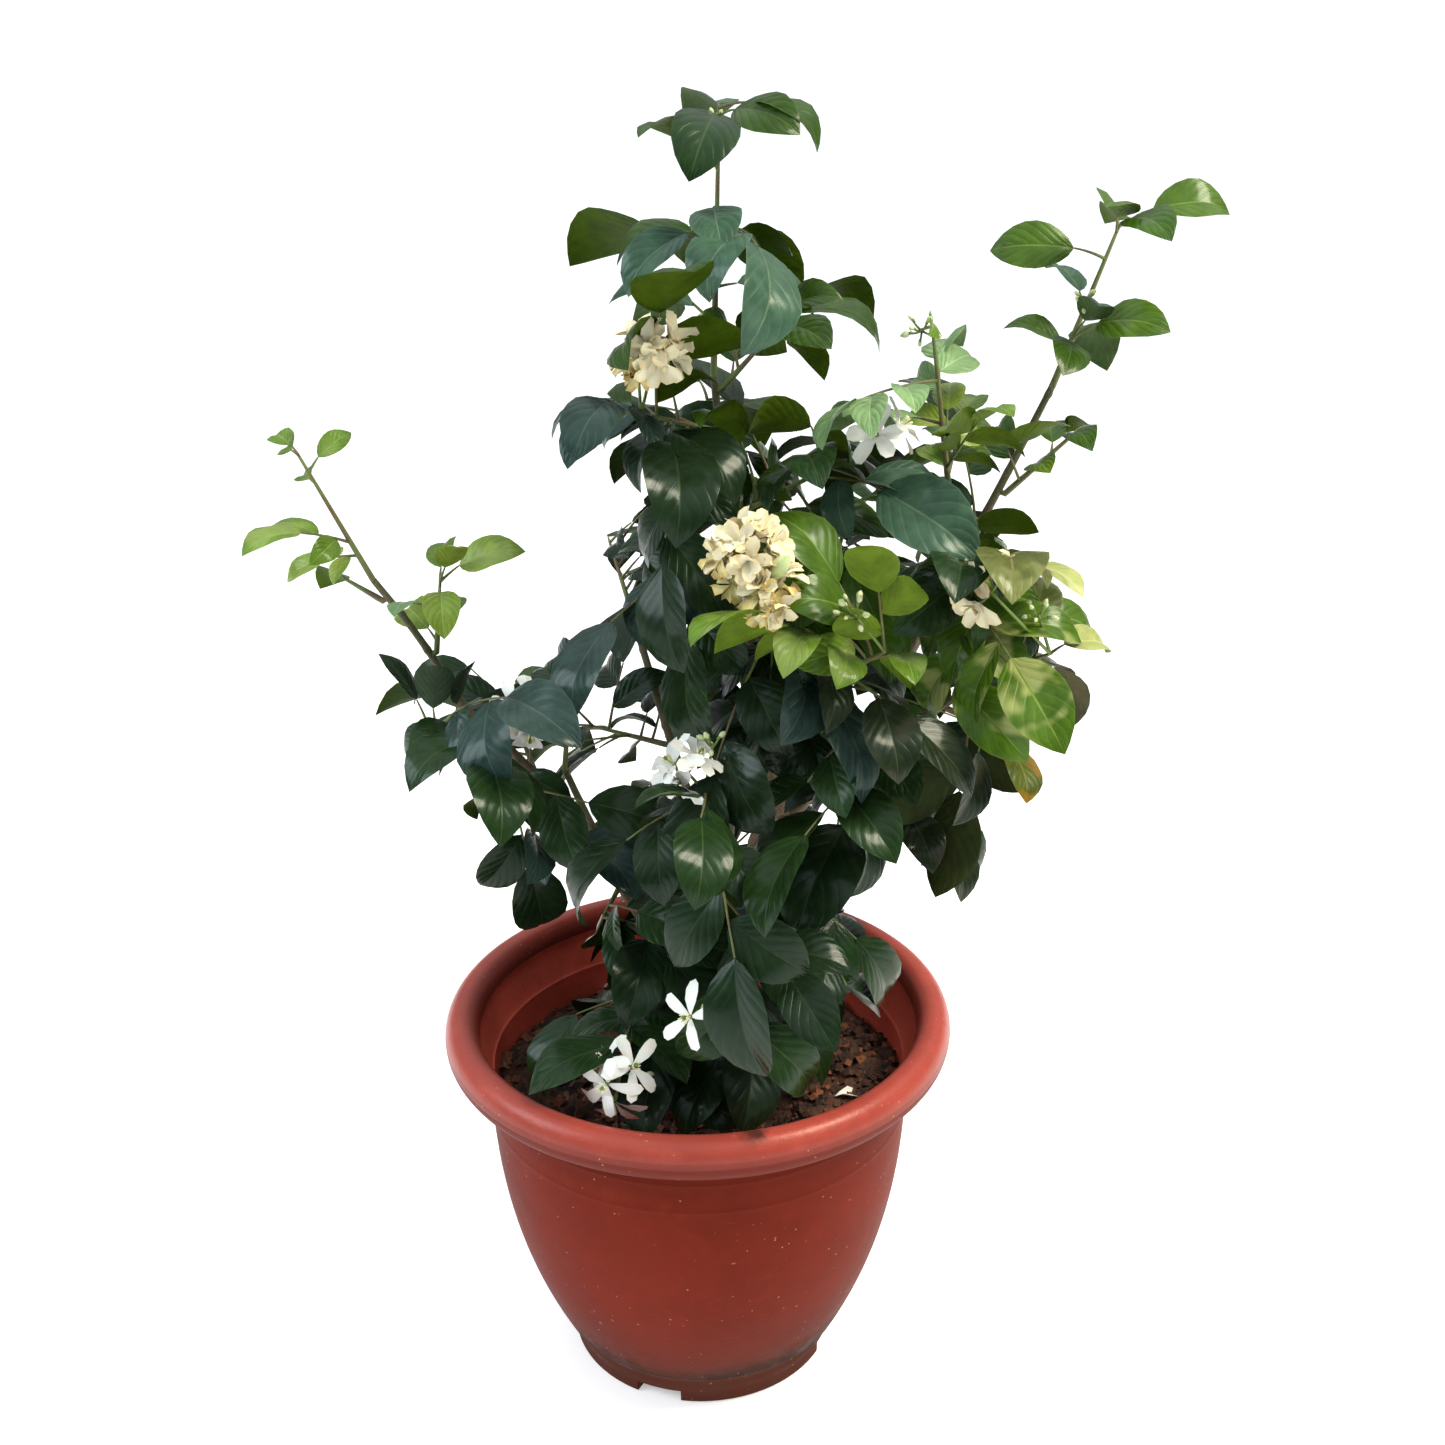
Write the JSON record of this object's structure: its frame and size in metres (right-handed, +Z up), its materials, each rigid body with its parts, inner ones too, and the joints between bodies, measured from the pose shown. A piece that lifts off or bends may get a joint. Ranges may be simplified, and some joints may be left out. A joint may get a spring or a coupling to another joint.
{
  "type": "orange jasmine shrub in a pot",
  "caption": "Potted evergreen orange jasmine shrub: leaning trunk, spreading boughs, masses of glossy compound leaves and white blossom, in a round pot with a rolled rim.",
  "frame": {"origin": "middle of the pot's flat underside, on the ground", "axes": "+Z up, +X to the right and -Y towards the viewer as the picture shows the plant"},
  "size_m": [0.5247, 0.4062, 0.7405],
  "materials": {
    "pot": "moulded terracotta-coloured plastic, satin, dusty near the foot",
    "soil": "moist loose potting soil, dark brown",
    "bark": "thin grey-brown bark, greener on the young shoots",
    "foliage": "glossy dark green leaflets with paler undersides and white blossom"
  },
  "bodies": {
    "root": {"back_left_bough": "bark", "back_left_leaves": "foliage", "back_left_low_leaves": "foliage", "back_low_leaves": "foliage", "back_right_bough": "bark", "back_right_leaves": "foliage", "back_right_low_leaves": "foliage", "centre_right_leaves": "foliage", "crown_tip_leaves": "foliage", "foot_front_leaves": "foliage", "foot_left_leaves": "foliage", "foot_right_leaves": "foliage", "front_bough": "bark", "front_left_leaves": "foliage", "front_low_leaves": "foliage", "front_middle_leaves": "foliage", "front_right_bough": "bark", "front_right_leaves": "foliage", "front_top_leaves": "foliage", "leader_bough": "bark", "left_back_leaves": "foliage", "left_bough": "bark", "left_foot_leaves": "foliage", "left_joint_leaves": "foliage", "left_low_leaves": "foliage", "left_middle_leaves": "foliage", "left_outer_leaves": "foliage", "left_rising_bough": "bark", "left_rising_leaves": "foliage", "left_side_leaves": "foliage", "left_tip_bough": "bark", "left_tip_leaves": "foliage", "middle_back_leaves": "foliage", "middle_front_leaves": "foliage", "middle_left_leaves": "foliage", "middle_right_leaves": "foliage", "pot": "pot", "right_back_leaves": "foliage", "right_bough": "bark", "right_foot_leaves": "foliage", "right_front_bough": "bark", "right_low_leaves": "foliage", "right_middle_leaves": "foliage", "right_tall_bough": "bark", "right_tip_leaves": "foliage", "right_twig_leaves": "foliage", "shoot_bough": "bark", "shoot_low_leaves": "foliage", "shoot_tip_leaves": "foliage", "soil": "soil", "trunk": "bark", "upper_back_leaves": "foliage", "upper_left_leaves": "foliage", "upper_right_leaves": "foliage"}
  },
  "joints": []
}
